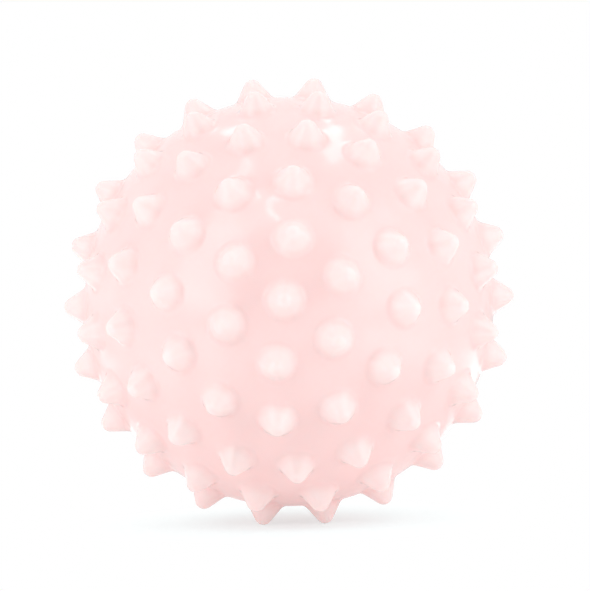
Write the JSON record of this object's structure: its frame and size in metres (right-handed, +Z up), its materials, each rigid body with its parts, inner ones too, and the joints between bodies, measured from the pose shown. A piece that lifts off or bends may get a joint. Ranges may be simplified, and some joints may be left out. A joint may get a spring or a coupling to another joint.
{
  "type": "sensory ball",
  "caption": "Hollow soft ball covered in rounded cone spikes set in rings, with a rubber valve sleeve in its back and a push-in stopper that pulls straight out of it.",
  "frame": {"origin": "the point of the standing surface right below the middle of the ball, where it rests between its lowest spikes", "axes": "+Z up; the front spike points along -Y and the air valve faces +Y, its stopper pulling out along +Y; +X is to the right seen from the front"},
  "size_m": [0.099, 0.0981, 0.0981],
  "materials": {
    "soft_vinyl": "satin",
    "valve_rubber": "matte",
    "stopper_vinyl": "satin"
  },
  "bodies": {
    "ball": {"skin": "soft_vinyl", "valve_sleeve": "valve_rubber"},
    "stopper": {"stopper_plug": "stopper_vinyl"}
  },
  "joints": [
    {"name": "stopper_pull", "type": "slide", "parent": "ball", "child": "stopper", "axis": [0, 1, 0], "range_m": [0, 0.0117]}
  ]
}
